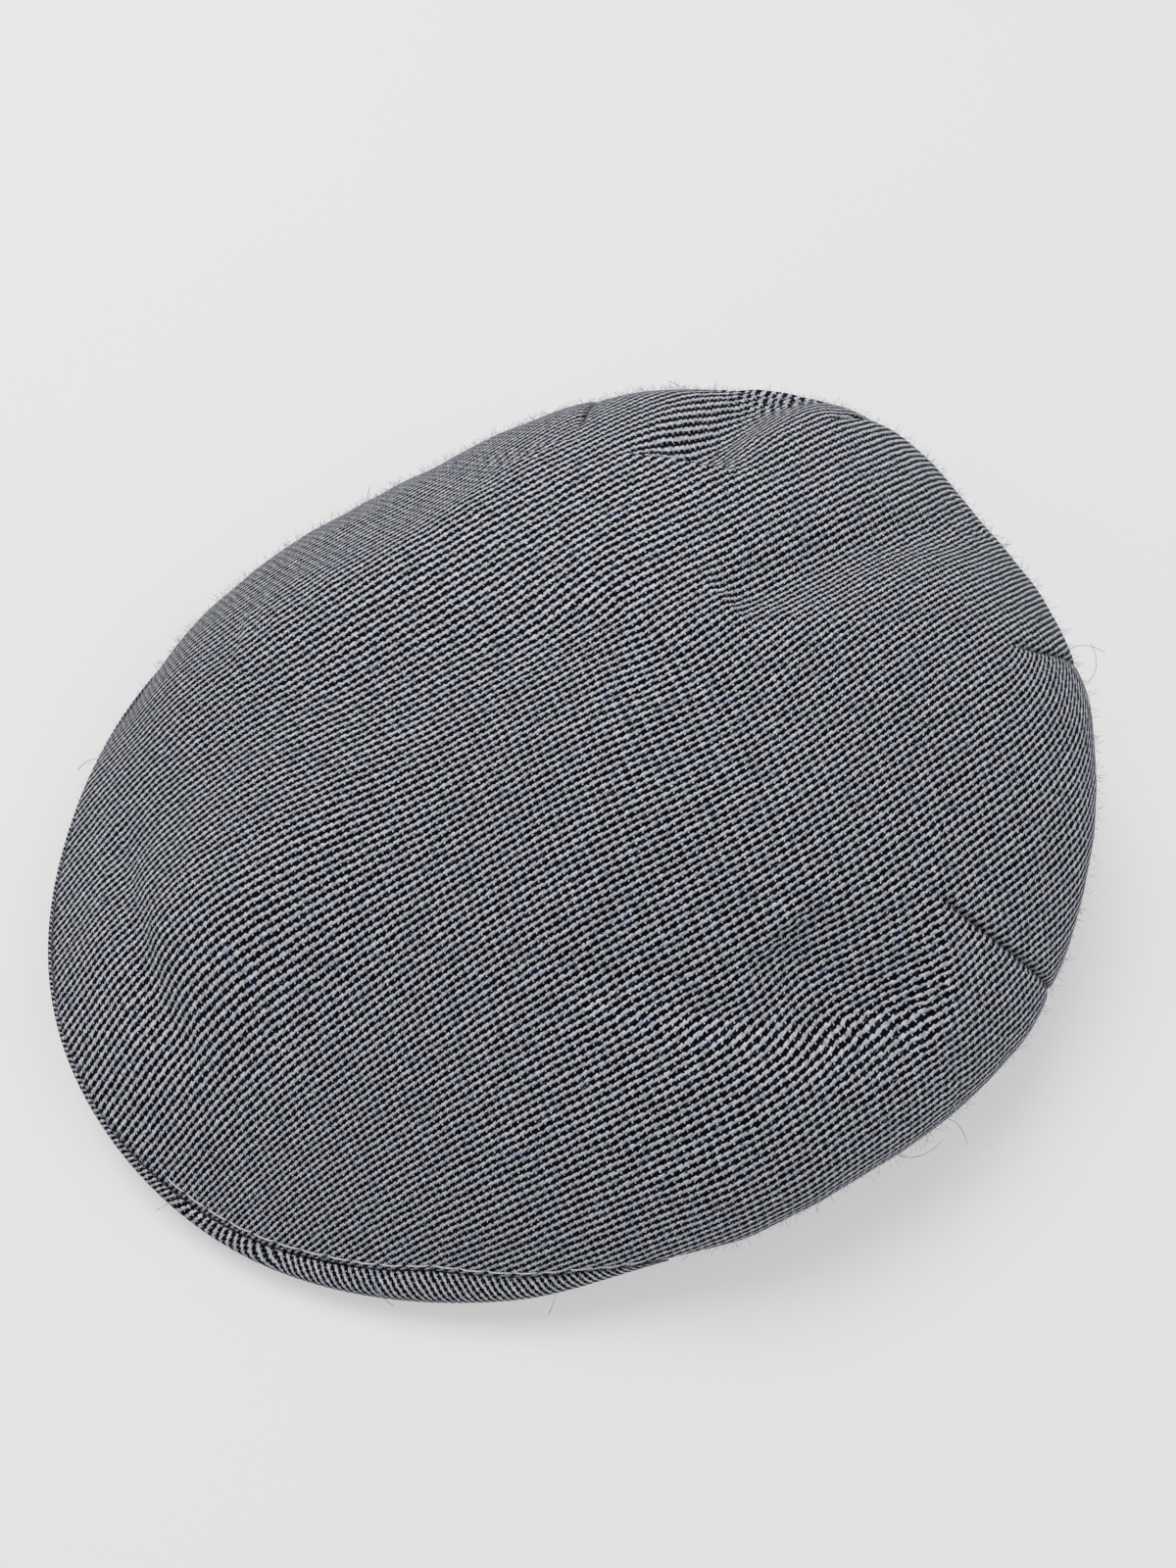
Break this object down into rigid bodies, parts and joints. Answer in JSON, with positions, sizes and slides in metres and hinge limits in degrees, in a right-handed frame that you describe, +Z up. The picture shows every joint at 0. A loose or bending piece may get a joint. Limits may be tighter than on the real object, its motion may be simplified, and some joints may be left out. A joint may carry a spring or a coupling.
{
  "type": "flat cap",
  "caption": "Soft wool flat cap lying on a table: a one-piece cloth crown with darts at the back, over a short stiff peak, on a head band.",
  "frame": {"origin": "on the table under the middle of the cap's outline", "axes": "+Z up, +Y from the peak to the back of the crown, +X to the wearer's left, the side that faces the picture's camera"},
  "size_m": [0.2409, 0.285, 0.094],
  "materials": {
    "wool_twill": "navy and pale grey wool twill in stepped diagonal rows, soft and slightly fuzzy",
    "peak_cloth": "the same wool twill stretched over the stiff peak",
    "edge_cloth": "the same wool twill turned round the peak's edge, its rows leaning the other way",
    "band_cloth": "plain dark woven band, matt"
  },
  "bodies": {
    "root": {"crown": "wool_twill", "peak": "peak_cloth", "peak_edge": "edge_cloth", "head_band": "band_cloth"}
  },
  "joints": []
}
